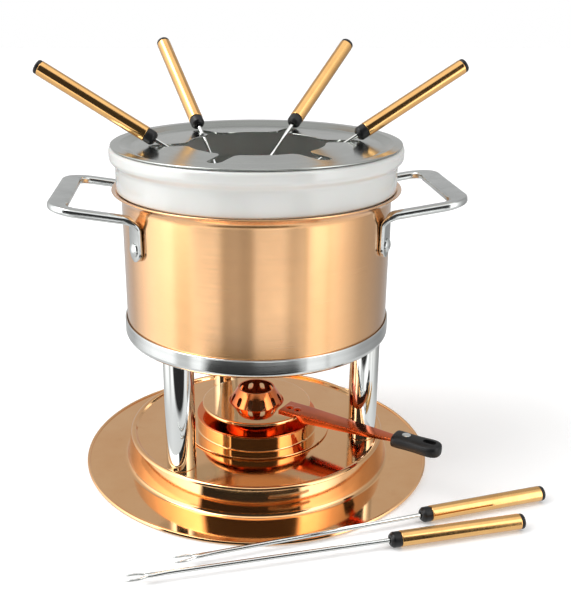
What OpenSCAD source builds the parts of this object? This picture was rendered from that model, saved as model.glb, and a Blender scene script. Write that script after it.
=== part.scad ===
// Table fondue set: a copper pot with a ceramic crock and a fork guard, carried on
// three tubular legs over a spirit burner, with six forks.
// Z is up, the origin is on the pot's axis at table level, and -Y is the front.

/* [Tray] */
// Outer radius of the tray's brim
tray_r = 117.4; // [112:0.1:136]
// Height of the raised platform's floor above the table
platform_z = 18; // [14:0.5:22]
// Thickness of the tray's sheet
tray_t = 1.2; // [0.8:0.1:1.6]
// Radius of the rolled bead round the brim
brim_bead = 1.1; // [0.9:0.1:1.6]
// Radius of the half-round ridge round the platform
ridge_r = 2; // [1.8:0.1:2.6]
// Radius of the fillet at the foot of the platform's wall
foot_fillet = 3; // [2:0.5:5]
// Lean of the platform's wall from the vertical
wall_draft = 8; // [4:1:12]

/* [Legs] */
// Outer diameter of a leg tube
leg_d = 19; // [15:0.5:22]
// Wall of a leg tube
leg_wall = 1.2; // [0.8:0.1:2]
// Height of the legs, from the platform to the stand ring
leg_h = 74; // [62:0.5:90]
// Direction of the back leg, anticlockwise from +X
leg_phase = 109; // [100:1:118]
// Thickness of the threaded plug in a leg's foot
plug_h = 8; // [5:0.5:12]
// Diameter of the screws that hold the legs
screw_d = 4; // [3:0.5:5]

/* [Stand ring] */
// Height of the stand ring
ring_h = 12; // [9:0.5:16]
// Wall of the stand ring
ring_wall = 1.2; // [0.8:0.1:1.6]
// Radius of the stand ring's rounded lower edge
ring_corner = 3.5; // [2:0.5:5]
// Radius of the hole through the stand ring
ring_hole_r = 60; // [46:0.5:62]

/* [Burner] */
// Radius of the fuel cup
cup_r = 41; // [34:0.5:43]
// Height of the fuel cup with its cover
cup_h = 11.2; // [9:0.2:16]
// Radius of the flange round the cup's foot
flange_r = 50; // [45:0.5:52]
// Sheet thickness of the burner
burner_t = 1; // [0.7:0.1:1.3]
// Radius of the chimney at its foot
chimney_r0 = 20; // [17:0.5:23]
// Radius of the chimney at its mouth
chimney_r1 = 12.5; // [10:0.5:15]
// Height of the chimney above the cup's cover
chimney_h = 17.5; // [14:0.5:26]
// Number of air holes round the chimney
air_holes = 12; // [8:1:14]
// Width of an air hole
air_hole_w = 3.4; // [2.5:0.1:4]

/* [Regulator] */
// Radius of the regulator disc
regulator_r = 37.2; // [32:0.2:40]
// Height of the regulator disc above the cup's cover
regulator_lift = 6.6; // [5:0.2:9]
// Direction of the handle, anticlockwise from +X
strap_dir = 327; // [310:1:328]
// Distance from the axis to the end of the copper strap
strap_reach = 118; // [104:1:130]
// Width of the strap at the disc
strap_w0 = 16.8; // [12:0.2:20]
// Width of the strap at the grip
strap_w1 = 7; // [5:0.2:9]
// Length of the grip
grip_l = 31; // [26:0.5:40]
// Width of the grip
grip_w = 14.5; // [12:0.5:18]
// Thickness of the grip
grip_t = 8.6; // [7:0.2:11]

/* [Pot] */
// Outer radius of the pot
pot_r = 85; // [78:0.5:94]
// Height of the pot, from its underside to its lip
pot_h = 94.9; // [82:0.1:112]
// Thickness of the copper shell
shell_t = 1; // [0.8:0.1:1.4]
// Thickness of the steel liner
liner_t = 0.8; // [0.6:0.1:1.2]
// Outer radius of the flare under the lip
lip_flare = 6; // [4:0.5:8]
// Radius of the pot's bottom corner
pot_corner = 4; // [3:0.5:6]

/* [Pot handles] */
// Direction of the right handle, anticlockwise from +X
handle_phase = 4; // [-6:1:8]
// Distance from the pot's wall to the outside of a handle
handle_reach = 41.5; // [40:0.5:56]
// Half of the handle's outside width
handle_half = 50; // [42:0.5:56]
// Width of the handle's arms
arm_w = 8; // [6:0.5:10]
// Width of the handle's outer bar
bar_w = 12; // [9:0.5:14]
// Thickness of the handle
handle_t = 4.6; // [3.5:0.1:6]
// Rise of the handle from its bend to its outer bar
handle_tilt = 9; // [0:1:15]
// Distance from the side of a handle to the middle of its rivet
rivet_inset = 6.7; // [5:0.1:9]
// Depth of the rivets below the pot's lip
rivet_drop = 28.7; // [24:0.1:34]
// Diameter of a rivet's head
rivet_head_d = 8.6; // [7:0.2:10]

/* [Crock] */
// Distance that the crock's lip stands out past the pot's wall
crock_lip_out = 6.5; // [5:0.5:9]
// Height of the crock that stands above the pot
crock_rise = 27.2; // [22:0.1:34]
// Height of the crock's lip
crock_lip_h = 9; // [6:0.5:12]
// Distance that the collar under the lip stands out past the pot's wall
collar_out = 3; // [2:0.5:4.5]
// Wall of the crock
crock_wall = 3.6; // [3:0.2:3.8]
// Space between the crock's underside and the pot's floor
bath_gap = 7; // [5:0.5:14]

/* [Fork guard] */
// Thickness of the guard's sheet
guard_t = 1; // [0.8:0.1:1.4]
// Radius of the opening in the middle of the guard
guard_open_r = 43; // [38:0.5:46]
// Distance from the axis to the outer end of a fork notch
notch_end = 67; // [64:0.5:72]
// Width of a fork notch
notch_w = 9; // [8.4:0.2:10]
// Direction of the first notch, anticlockwise from +X
notch_phase = 8; // [0:1:12]

/* [Forks] */
// Length of a fork from tip to butt
fork_l = 238; // [230:1:241]
// Length of the handle with its ferrule and cap
grip_tube_l = 85; // [78:1:94]
// Diameter of the handle tube
grip_tube_d = 9.6; // [8:0.2:10]
// Length of the ferrule at the shaft's end of the handle
ferrule_l = 6.5; // [5:0.5:9]
// Length of the cap on the butt
butt_l = 2.6; // [2:0.2:5]
// Diameter of the fork's shaft
shaft_d = 2.6; // [2:0.1:3]
// Length of the two prongs
prong_l = 14; // [10:0.5:18]
// Diameter of a prong
prong_d = 1.6; // [1.2:0.1:2]
// Spread of the prongs at their tips, centre to centre
prong_spread = 4.8; // [3.6:0.1:5.4]

/* [Fits] */
// Clearance round the pot in the stand ring
pot_clear = 0.3; // [0.2:0.05:0.6]
// Gap between two pieces where one rests on the other
seat = 0.3; // [0.2:0.05:0.4]
// Gap between layers and trims that are fixed together
layer = 0.05; // [0.02:0.01:0.1]

/* [Hidden] */
$fn = 64;

// Colours of the finishes
copper = "#d9915a";
polished_steel = "#c9ccd0";
satin_steel = "#a7abae";
gold = "#d9a55a";
glaze = "#f4f3ef";
black = "#1b1b1c";
felt = "#e8e2d4";

over = 1;            // how far a cut runs past the piece it cuts
arc_steps = 8;       // straight pieces in a drawn quarter arc

// Points along an arc in an outline, from angle a0 to a1
function arc(x, y, r, a0, a1, n = arc_steps) =
    [for (i = [0:n]) let (a = a0 + (a1 - a0) * i / n) [x + r * cos(a), y + r * sin(a)]];

// Stand ring and legs, set out from the pot
ring_in = pot_r + pot_clear;
ring_out = ring_in + ring_wall;
leg_circle = ring_out - ring_corner - leg_d / 2 - 0.5;
ring_z = platform_z + leg_h;
leg_dirs = [leg_phase, leg_phase + 120, leg_phase + 240];

// Tray
leg_margin = 0.5;
ridge_x = leg_circle + leg_d / 2 + leg_margin + ridge_r;
ridge_z = platform_z;
foot_z = tray_t + foot_fillet;
wall_top = [ridge_x + ridge_r * cos(wall_draft), ridge_z + ridge_r * sin(wall_draft)];
wall_foot_z = foot_z - foot_fillet * sin(wall_draft);
wall_foot_x = wall_top[0] + (wall_top[1] - wall_foot_z) * tan(wall_draft);
foot_x = wall_foot_x + foot_fillet * cos(wall_draft);
bead_start = 180 - asin((tray_t - brim_bead) / brim_bead);

// Leg screws
screw_clear = 0.2;
screw_head_r = screw_d;
screw_head_h = 2.6;
screw_l = 7;

// Burner, standing on the platform
burner_z = platform_z + seat;
cover_z = burner_z + cup_h;
skirt_h = 3;
pad_h = cup_h - 2 * burner_t - 2 * seat - 0.6;
gauze_t = 0.5;
function chimney_at(h) = chimney_r0 - (chimney_r0 - chimney_r1) * h / chimney_h;
air_hole_h = 5;
air_hole_z = regulator_lift + burner_t + air_hole_h / 2 + 1.6;

// Regulator
disc_t = 1.2;
disc_z = cover_z + regulator_lift;
disc_hole_r = chimney_at(regulator_lift) + layer * 2;
disc_lip = 3;
strap_t = 1.4;
strap_z = disc_z + disc_t + layer;
strap_root = chimney_r0 + 3;
grip_end = strap_reach + 17;
grip_start = grip_end - grip_l;
grip_z = strap_z + strap_t / 2;
strap_rivet_r = 1.6;
hang_r = 2.2;        // half the width of the hanging hole
hang_l = 4;          // distance between the centres of its two ends
hang_end = 5.5;      // distance from its outer end's centre to the grip's end
hang_at = grip_end - hang_end - hang_l;
strap_rivets_at = [strap_root + 4, strap_root + 10];
grip_rivet_at = strap_reach - 6;

// Pot
pot_z = ring_z + ring_wall + seat;
lip_z = pot_z + pot_h;
flare_z = lip_z - shell_t - lip_flare;
liner_r = pot_r - shell_t - layer;
liner_in = liner_r - liner_t;
pot_floor = pot_z + shell_t + layer + liner_t;
rivet_z = lip_z - rivet_drop;
rivet_r = 2.4;
rivet_head_t = 2;

// Pot handles
tang_t = 3;
tang_w = 12.5;
tang_drop = 7.5;
tang_in = pot_r + layer;
tang_out = tang_in + tang_t;
rivet_angle = asin((handle_half - rivet_inset) / tang_in);
tang_top = flare_z - handle_t / 2 - 0.2;
handle_corner = 19;

// Crock, hanging by its shoulder from the pot's lip
crock_lip_r = pot_r + crock_lip_out;
collar_r = pot_r + collar_out;
shoulder_r = collar_r - 1;
shoulder_z = flare_z + seat
    + sqrt(pow(lip_flare + shell_t, 2) - pow(pot_r + lip_flare - shoulder_r, 2));
crock_top = shoulder_z + crock_rise;
crock_base = pot_floor + bath_gap;
rivet_room = 0.4;
crock_r = liner_in - rivet_head_t - rivet_room;
crock_in = crock_r - crock_wall;
crock_corner = 12;
mouth_r = collar_r - crock_wall;
mouth_round = 1.5;
lip_round = 2.5;
shoulder_t = 4;      // thickness of the crock's shoulder

// Fork guard, lying on the crock's lip
guard_z = crock_top + seat;
guard_r = crock_lip_r - 1;
guard_drop = 2.4;
guard_seat_r = mouth_r - 6;
guard_rise_r = mouth_r - 1;
notch_fillet = 7;
plate_top = guard_z + guard_t - guard_drop;

// Standing forks: notch number, distance from the axis, heading and tilt of the handle
fork_set = [[3, 57, 171, 30.5], [2, 60.5, 115, 37], [1, 58.5, 53, 36], [0, 58.5, 19, 29]];
// Forks on the table: heading of the handle, place of the butt along it, and distance of
// the fork's axis from the tray's rim
table_gap = 0.02;
fork_table = [[13.3, 133.1, 15.3], [17, 153.3, 0.1]];
shaft_l = fork_l - grip_tube_l - prong_l;
shaft_socket = 30;
ferrule_round = 2;
fork_rest = 0.6;     // height of a shaft's axis over the plate where it rests in its notch
fork_lift = 0.8;     // height of a ferrule's lowest point over the plate

// Distance along a standing fork from its rest to the ferrule's face
function fork_gap(tilt) = (fork_lift - fork_rest + ferrule_round
    + (grip_tube_d / 2 - 0.2 - ferrule_round) * cos(tilt)) / sin(tilt) - ferrule_round;

module at_leg(dir) {
    rotate([0, 0, dir]) translate([leg_circle, 0, 0]) children();
}

module tray() {
    top = concat(
        [[0, platform_z]],
        arc(ridge_x, ridge_z, ridge_r, 180, wall_draft),
        arc(foot_x, foot_z, foot_fillet, 180 + wall_draft, 270),
        arc(tray_r - brim_bead, brim_bead, brim_bead, bead_start, -90)
    );
    under = concat(
        arc(foot_x, foot_z, foot_fillet + tray_t, 270, 180 + wall_draft),
        arc(ridge_x, ridge_z, ridge_r - tray_t, wall_draft, 180),
        [[ridge_x - ridge_r + tray_t, platform_z - tray_t], [0, platform_z - tray_t]]
    );
    color(copper) difference() {
        rotate_extrude($fn = 128) polygon(concat(top, under));
        for (dir = leg_dirs) at_leg(dir)
            translate([0, 0, platform_z - tray_t - over])
            cylinder(r = screw_d / 2 + screw_clear, h = tray_t + 2 * over);
    }
}

module leg(dir) {
    color(polished_steel) at_leg(dir) translate([0, 0, platform_z]) difference() {
        cylinder(d = leg_d, h = leg_h);
        translate([0, 0, plug_h])
            cylinder(d = leg_d - 2 * leg_wall, h = leg_h - plug_h - leg_wall);
        translate([0, 0, -over]) cylinder(r = screw_d / 2 + layer, h = plug_h + 2 * over);
    }
}

module leg_left() { leg(leg_dirs[1]); }
module leg_right() { leg(leg_dirs[2]); }
module leg_back() { leg(leg_dirs[0]); }

module leg_screws() {
    color(polished_steel) for (dir = leg_dirs) at_leg(dir) {
        translate([0, 0, platform_z - tray_t - screw_head_h]) difference() {
            cylinder(r = screw_head_r, h = screw_head_h);
            translate([-screw_head_r - over, -0.5, -over])
                cube([2 * screw_head_r + 2 * over, 1, 0.8 + over]);
        }
        translate([0, 0, platform_z - tray_t]) cylinder(d = screw_d, h = screw_l);
    }
}

module stand_ring() {
    outline = concat(
        [[ring_hole_r, ring_z]],
        arc(ring_out - ring_corner, ring_z + ring_corner, ring_corner, 270, 360),
        [[ring_out, ring_z + ring_h], [ring_in, ring_z + ring_h]],
        arc(ring_out - ring_corner, ring_z + ring_corner, ring_corner - ring_wall, 0, -90),
        [[ring_hole_r, ring_z + ring_wall]]
    );
    color(polished_steel) rotate_extrude($fn = 128) polygon(outline);
}

module burner_cup() {
    color(copper) translate([0, 0, burner_z]) difference() {
        union() {
            cylinder(r = flange_r, h = burner_t);
            cylinder(r = cup_r, h = cup_h - burner_t - layer);
        }
        translate([0, 0, burner_t]) cylinder(r = cup_r - burner_t, h = cup_h);
    }
}

module burner_cover() {
    skirt_r = cup_r - burner_t - layer;
    outline = [
        [chimney_r0, 0], [chimney_r1, chimney_h], [chimney_r1 - burner_t, chimney_h],
        [chimney_r0 - burner_t, 0], [chimney_r0 - burner_t, -burner_t],
        [skirt_r - burner_t, -burner_t], [skirt_r - burner_t, -burner_t - skirt_h],
        [skirt_r, -burner_t - skirt_h], [skirt_r, -burner_t], [cup_r, -burner_t], [cup_r, 0]
    ];
    color(copper) translate([0, 0, cover_z]) difference() {
        rotate_extrude() polygon(outline);
        for (i = [0:air_holes - 1]) rotate([0, 0, (i + 0.5) * 360 / air_holes]) air_hole();
    }
}

// Upright slot with round ends through one side of the chimney
module air_hole() {
    end = air_hole_h / 2 - air_hole_w / 2;
    translate([0, 0, air_hole_z]) rotate([90, 0, 90]) linear_extrude(chimney_r0)
        polygon(concat(arc(0, end, air_hole_w / 2, 0, 180), arc(0, -end, air_hole_w / 2, 180, 360)));
}

module burner_gauze() {
    color(satin_steel) translate([0, 0, cover_z - burner_t - gauze_t - layer])
        cylinder(r = chimney_r0 + 2, h = gauze_t);
}

module fuel_pad() {
    color(felt) translate([0, 0, burner_z + burner_t + seat])
        cylinder(r = cup_r - 2 * burner_t - 1, h = pad_h - gauze_t);
}

module regulator_disc() {
    color(copper) translate([0, 0, disc_z]) difference() {
        translate([0, 0, disc_t - disc_lip]) cylinder(r = regulator_r, h = disc_lip);
        translate([0, 0, -disc_lip]) cylinder(r = regulator_r - disc_t, h = disc_lip);
        translate([0, 0, -over]) cylinder(r = disc_hole_r, h = disc_t + 2 * over);
        for (x = strap_rivets_at) rotate([0, 0, strap_dir]) translate([x, 0, -over])
            cylinder(r = strap_rivet_r + layer, h = disc_t + 2 * over);
    }
}

module regulator_strap() {
    color(copper) rotate([0, 0, strap_dir]) difference() {
        translate([0, 0, strap_z]) linear_extrude(strap_t) strap_outline();
        for (x = concat(strap_rivets_at, [grip_rivet_at]))
            translate([x, 0, strap_z - over])
            cylinder(r = strap_rivet_r + layer, h = strap_t + 2 * over);
    }
}

module strap_outline() {
    polygon([
        [strap_root, -strap_w0 / 2], [regulator_r + 4, -strap_w0 / 2],
        [grip_start, -strap_w1 / 2], [strap_reach, -strap_w1 / 2],
        [strap_reach, strap_w1 / 2], [grip_start, strap_w1 / 2],
        [regulator_r + 4, strap_w0 / 2], [strap_root, strap_w0 / 2]
    ]);
}

// Rivet with a low head at each end, standing on z = 0
module rivet(r, length, head_r, head_h) {
    cylinder(r = r, h = length);
    translate([0, 0, length]) cylinder(r1 = head_r, r2 = head_r * 0.7, h = head_h);
    translate([0, 0, -head_h]) cylinder(r1 = head_r * 0.7, r2 = head_r, h = head_h);
}

module strap_rivets() {
    color(copper) rotate([0, 0, strap_dir]) for (x = strap_rivets_at)
        translate([x, 0, disc_z - layer])
        rivet(strap_rivet_r, disc_t + strap_t + 3 * layer, strap_rivet_r * 1.6, 0.8);
}

module regulator_grip() {
    slot_w = strap_w1 + 2 * layer;
    slot_t = strap_t + 2 * layer;
    side_in = 1;
    round_r = grip_w / 2 - side_in;
    edge = 1.5;
    nose = 4;
    nose_in = 2;
    low = grip_z - grip_t / 2;
    tail = grip_end - round_r - side_in;
    color(black) rotate([0, 0, strap_dir]) difference() {
        hull() {
            translate([grip_start, -grip_w / 2 + nose_in, low + nose_in])
                cube([1, grip_w - 2 * nose_in, grip_t - 2 * nose_in]);
            translate([grip_start + nose, -grip_w / 2, low + edge])
                cube([1, grip_w, grip_t - 2 * edge]);
            translate([tail, 0, low]) cylinder(r = round_r, h = grip_t, $fn = 32);
            translate([tail, 0, low + edge])
                cylinder(r = round_r + side_in, h = grip_t - 2 * edge, $fn = 32);
            translate([grip_start + nose, -round_r, low]) cube([1, 2 * round_r, grip_t]);
        }
        translate([grip_start - over, -slot_w / 2, grip_z - slot_t / 2])
            cube([strap_reach - grip_start + over + layer, slot_w, slot_t]);
        translate([grip_rivet_at, 0, grip_z - grip_t])
            cylinder(r = strap_rivet_r + layer, h = 2 * grip_t);
        for (x = [hang_at, hang_at + hang_l]) translate([x, 0, grip_z - grip_t])
            cylinder(r = hang_r, h = 2 * grip_t);
        translate([hang_at, -hang_r, grip_z - grip_t])
            cube([hang_l, 2 * hang_r, 2 * grip_t]);
    }
}

module grip_rivet() {
    color(satin_steel) rotate([0, 0, strap_dir])
        translate([grip_rivet_at, 0, grip_z - grip_t / 2 - layer])
        rivet(strap_rivet_r, grip_t + 2 * layer, strap_rivet_r * 1.7, 0.7);
}

module pot_shell() {
    flare_x = pot_r + lip_flare;
    outer = concat(
        [[0, pot_z]],
        arc(pot_r - pot_corner, pot_z + pot_corner, pot_corner, -90, 0),
        arc(flare_x, flare_z, lip_flare, 180, 90)
    );
    inner = concat(
        arc(flare_x, flare_z, lip_flare + shell_t, 90, 180),
        arc(pot_r - pot_corner, pot_z + pot_corner, pot_corner - shell_t, 0, -90),
        [[0, pot_z + shell_t]]
    );
    color(copper) difference() {
        rotate_extrude($fn = 128) polygon(concat(outer, inner));
        for (side = [0, 180]) at_rivets(side) rivet_hole();
    }
}

module pot_liner() {
    corner = pot_corner - shell_t - layer;
    base = pot_z + shell_t + layer;
    corner_x = liner_r - corner;
    corner_z = base + corner;
    outline = concat(
        [[0, base]],
        arc(corner_x, corner_z, corner, -90, 0),
        [[liner_r, flare_z], [liner_in, flare_z]],
        arc(corner_x, corner_z, corner - liner_t, 0, -90),
        [[0, base + liner_t]]
    );
    color(satin_steel) difference() {
        rotate_extrude($fn = 128) polygon(outline);
        for (side = [0, 180]) at_rivets(side) rivet_hole();
    }
}

// Puts its children at the two rivets of one handle, with X pointing out of the pot
module at_rivets(side) {
    for (s = [-1, 1]) rotate([0, 0, handle_phase + side + s * rivet_angle])
        translate([0, 0, rivet_z]) children();
}

module rivet_hole() {
    translate([liner_in - 4, 0, 0]) rotate([0, 90, 0]) cylinder(r = rivet_r + layer, h = 12);
}

module pot_rivets(side) {
    head_r = rivet_head_d / 2;
    inner_seat = sqrt(pow(liner_in, 2) - pow(head_r, 2)) - layer;
    color(polished_steel) at_rivets(side) {
        translate([inner_seat, 0, 0]) rotate([0, 90, 0])
            cylinder(r = rivet_r, h = tang_out - inner_seat + 2 * layer);
        translate([tang_out + layer, 0, 0]) rotate([0, 90, 0])
            cylinder(r1 = head_r, r2 = head_r * 0.6, h = rivet_head_t);
        translate([inner_seat, 0, 0]) rotate([0, -90, 0])
            cylinder(r1 = head_r * 0.9, r2 = head_r * 0.6, h = rivet_head_t * 0.8);
    }
}

module pot_rivets_left() { pot_rivets(180); }
module pot_rivets_right() { pot_rivets(0); }

// Cast loop: two tangs that follow the pot's wall, two arms and an outer bar
module pot_handle(side) {
    root = tang_in * cos(rivet_angle);
    color(polished_steel) rotate([0, 0, handle_phase + side]) difference() {
        union() {
            for (s = [-1, 1]) tang(s * rivet_angle);
            difference() {
                translate([root, 0, tang_top - handle_t / 2]) rotate([0, -handle_tilt, 0])
                    linear_extrude(handle_t) handle_outline(pot_r + handle_reach - root);
                cylinder(r = tang_in, h = 3 * pot_h);
            }
        }
        for (s = [-1, 1]) rotate([0, 0, s * rivet_angle]) translate([0, 0, rivet_z])
            rivet_hole();
    }
}

// Plan of the loop, open towards the pot
module handle_outline(reach) {
    inner = handle_corner - arm_w;
    far = reach - handle_corner;
    side = handle_half - handle_corner;
    difference() {
        union() {
            translate([-over, -handle_half]) square([far + over, 2 * handle_half]);
            translate([0, -side]) square([reach, 2 * side]);
            for (s = [-1, 1]) translate([far, s * side]) circle(r = handle_corner);
        }
        translate([-2 * over, -handle_half + arm_w])
            square([reach - bar_w - inner + 2 * over, 2 * (handle_half - arm_w)]);
        translate([0, -side]) square([reach - bar_w, 2 * side]);
        for (s = [-1, 1]) translate([reach - bar_w - inner, s * side]) circle(r = inner);
    }
}

module tang(dir) {
    low = rivet_z - tang_drop + tang_w / 2;
    intersection() {
        difference() {
            cylinder(r = tang_out, h = tang_top + handle_t / 2, $fn = 128);
            translate([0, 0, -over]) cylinder(r = tang_in, h = tang_top + 2 * handle_t, $fn = 128);
        }
        rotate([0, 0, dir]) union() {
            translate([pot_r / 2, -tang_w / 2, low])
                cube([pot_r, tang_w, tang_top + handle_t / 2 - low]);
            translate([pot_r / 2, 0, low]) rotate([0, 90, 0])
                cylinder(d = tang_w, h = pot_r);
        }
    }
}

module pot_handle_left() { pot_handle(180); }
module pot_handle_right() { pot_handle(0); }

module crock() {
    lip_z0 = crock_top - crock_lip_h;
    outer = concat(
        [[0, crock_base]],
        arc(crock_r - crock_corner, crock_base + crock_corner, crock_corner, -90, 0),
        [[crock_r, shoulder_z], [shoulder_r, shoulder_z], [collar_r, shoulder_z + 1]],
        [[collar_r, lip_z0 - 2]],
        arc(crock_lip_r - lip_round, lip_z0 + lip_round, lip_round, -60, 0),
        arc(crock_lip_r - lip_round, crock_top - lip_round, lip_round, 0, 90)
    );
    inner_corner = crock_corner - crock_wall;
    inner = concat(
        arc(mouth_r + mouth_round, crock_top - mouth_round, mouth_round, 90, 180),
        [[mouth_r, shoulder_z + shoulder_t], [crock_in, shoulder_z - 1.5 * shoulder_t]],
        arc(crock_in - inner_corner, crock_base + crock_corner, inner_corner, 0, -90),
        [[0, crock_base + crock_wall]]
    );
    color(glaze) rotate_extrude($fn = 128) polygon(concat(outer, inner));
}

module fork_guard() {
    step = guard_rise_r - guard_seat_r;
    top = concat(
        [[guard_open_r, plate_top + 1.2], [guard_seat_r, plate_top]],
        [[guard_seat_r + step / 2, plate_top + 0.3]],
        [[guard_rise_r, guard_z + guard_t - 0.4], [guard_rise_r + 2, guard_z + guard_t]],
        arc(guard_r - guard_t / 2, guard_z + guard_t / 2, guard_t / 2, 90, -90)
    );
    under = [
        [guard_rise_r + 2, guard_z], [guard_rise_r, guard_z - 0.4],
        [guard_seat_r + step / 2, plate_top + 0.3 - guard_t],
        [guard_seat_r, plate_top - guard_t], [guard_open_r, plate_top + 1.2 - guard_t]
    ];
    color(polished_steel) difference() {
        rotate_extrude($fn = 128) polygon(concat(top, under));
        translate([0, 0, plate_top - 3 * guard_t]) linear_extrude(6 * guard_t)
            for (i = [0:5]) rotate(notch_phase + 60 * i) notch();
    }
}

// Plan of one fork notch, with a rounded mouth
module notch() {
    half = notch_w / 2;
    mouth = guard_open_r + notch_fillet;
    x = sqrt(pow(mouth, 2) - pow(half + notch_fillet, 2));
    k = guard_open_r / mouth;
    translate([notch_end - half, 0]) circle(r = half);
    translate([0, -half]) square([notch_end - half, notch_w]);
    for (s = [-1, 1]) difference() {
        polygon([[0, 0], [x, 0], [x, s * (half + notch_fillet)],
            [k * x, s * k * (half + notch_fillet)]]);
        translate([x, s * (half + notch_fillet)]) circle(r = notch_fillet);
    }
}

// Places a fork: its handle runs along +X from the ferrule's face at the origin
module place_fork(i) {
    if (i < len(fork_set)) {
        f = fork_set[i];
        way = notch_phase + 60 * f[0];
        translate([f[1] * cos(way), f[1] * sin(way), plate_top + fork_rest])
            rotate([0, -f[3], f[2]]) translate([fork_gap(f[3]), 0, 0]) children();
    } else {
        f = fork_table[i - len(fork_set)];
        translate([0, 0, grip_tube_d / 2 + table_gap]) rotate([0, 0, f[0]])
            translate([f[1] - grip_tube_l, -tray_r - f[2], 0]) children();
    }
}

module fork_shaft(i) {
    half = (prong_spread - shaft_d / 2) / 2;
    flare = atan(half / prong_l);
    root_y = prong_spread / 2 - half;
    color(polished_steel) place_fork(i) {
        translate([-shaft_l, 0, 0]) rotate([0, 90, 0])
            cylinder(d = shaft_d, h = shaft_l + shaft_socket, $fn = 24);
        for (s = [-1, 1]) translate([-shaft_l + 1, s * root_y, 0]) rotate([0, -90, -s * flare]) {
            cylinder(d = prong_d, h = prong_l - 2, $fn = 24);
            translate([0, 0, prong_l - 2]) cylinder(d1 = prong_d, d2 = 0.4, h = 3, $fn = 24);
        }
        translate([-shaft_l, 0, 0]) sphere(d = shaft_d + 0.4, $fn = 24);
    }
}

module fork_ferrule(i) {
    r = grip_tube_d / 2;
    bore = shaft_d / 2 + layer;
    outline = concat(
        arc(ferrule_round, r - 0.2 - ferrule_round, ferrule_round, 180, 90, 4),
        [[ferrule_l - layer, r - 0.2], [ferrule_l - layer, bore], [0, bore]]
    );
    color(black) place_fork(i) rotate([0, 90, 0]) rotate_extrude($fn = 48)
        polygon([for (p = outline) [p[1], p[0]]]);
}

module fork_handle(i) {
    length = grip_tube_l - ferrule_l - butt_l;
    bore = shaft_socket - ferrule_l;
    color(gold) place_fork(i) translate([ferrule_l, 0, 0]) rotate([0, 90, 0]) difference() {
        cylinder(d = grip_tube_d, h = length, $fn = 48);
        translate([0, 0, -over])
            cylinder(r = shaft_d / 2 + layer, h = bore + over + 0.2, $fn = 24);
    }
}

module fork_cap(i) {
    r = grip_tube_d / 2;
    color(black) place_fork(i) translate([grip_tube_l - butt_l + layer, 0, 0])
        rotate([0, 90, 0]) rotate_extrude($fn = 48)
        polygon(concat([[0, 0], [r - 0.2, 0]], arc(r - 1.2, butt_l - layer - 1, 1, 0, 90, 4),
            [[0, butt_l - layer]]));
}

tray();
leg_left();
leg_right();
leg_back();
leg_screws();
stand_ring();
burner_cup();
burner_cover();
burner_gauze();
fuel_pad();
regulator_disc();
regulator_strap();
strap_rivets();
regulator_grip();
grip_rivet();
pot_shell();
pot_liner();
pot_handle_left();
pot_handle_right();
pot_rivets_left();
pot_rivets_right();
crock();
fork_guard();
fork_shaft(0);  // fork_1_shaft
fork_ferrule(0);  // fork_1_ferrule
fork_handle(0);  // fork_1_handle
fork_cap(0);  // fork_1_cap
fork_shaft(1);  // fork_2_shaft
fork_ferrule(1);  // fork_2_ferrule
fork_handle(1);  // fork_2_handle
fork_cap(1);  // fork_2_cap
fork_shaft(2);  // fork_3_shaft
fork_ferrule(2);  // fork_3_ferrule
fork_handle(2);  // fork_3_handle
fork_cap(2);  // fork_3_cap
fork_shaft(3);  // fork_4_shaft
fork_ferrule(3);  // fork_4_ferrule
fork_handle(3);  // fork_4_handle
fork_cap(3);  // fork_4_cap
fork_shaft(4);  // fork_5_shaft
fork_ferrule(4);  // fork_5_ferrule
fork_handle(4);  // fork_5_handle
fork_cap(4);  // fork_5_cap
fork_shaft(5);  // fork_6_shaft
fork_ferrule(5);  // fork_6_ferrule
fork_handle(5);  // fork_6_handle
fork_cap(5);  // fork_6_cap
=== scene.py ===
"""Looks of the table fondue set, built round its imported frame.

Lengths are in millimetres and angles in degrees up to the moment that a mesh is made, when MM turns
them to metres. Heights and radii come from the CAD nodes' boxes where those give them.
"""

import random
from math import asin, atan2, copysign, cos, degrees, pi, radians, sin, sqrt, tan

import bmesh
import bpy
import numpy as np
from mathutils import Matrix, Vector


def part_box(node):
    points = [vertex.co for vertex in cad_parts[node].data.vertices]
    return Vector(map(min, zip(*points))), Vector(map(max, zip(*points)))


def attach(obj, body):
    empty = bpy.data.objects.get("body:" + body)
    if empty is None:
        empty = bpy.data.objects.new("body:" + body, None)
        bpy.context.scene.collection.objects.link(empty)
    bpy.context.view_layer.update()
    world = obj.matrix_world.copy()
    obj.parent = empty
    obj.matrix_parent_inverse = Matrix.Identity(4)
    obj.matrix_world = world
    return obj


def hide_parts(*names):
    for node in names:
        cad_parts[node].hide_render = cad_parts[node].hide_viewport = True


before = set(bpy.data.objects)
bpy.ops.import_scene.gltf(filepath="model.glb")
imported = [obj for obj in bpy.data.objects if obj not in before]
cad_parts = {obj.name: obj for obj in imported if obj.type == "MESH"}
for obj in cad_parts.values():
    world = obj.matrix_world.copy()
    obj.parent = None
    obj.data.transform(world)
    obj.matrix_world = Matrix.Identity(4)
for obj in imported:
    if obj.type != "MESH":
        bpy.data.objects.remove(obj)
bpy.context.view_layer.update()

MM = 0.001
random.seed(11)

# Steps round a full turn of big and of small pieces, and in the fillet of one corner
ROUND_STEPS = 192
SMALL_STEPS = 48
FILLET_STEPS = 7

# Distance, in mm, from the end of a straight run to the point that holds its shading flat
SUPPORT = 0.35

# Distance from the axis, in mm, within which a point lies on it
ON_AXIS = 1e-4

# Sizes of this set that a node's box doesn't give. First the gap between parts that touch and the
# copper sheet's thickness
GAP = 0.05
SHEET = 1.0

# Tray: its ridge, drafted wall, foot, sheet and rolled bead
RIDGE_R = 2.0
RIDGE_X = 85.0
WALL_DRAFT = 8.0
FOOT_FILLET = 3.0
TRAY_T = 1.2
BEAD_R = 1.1

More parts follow.
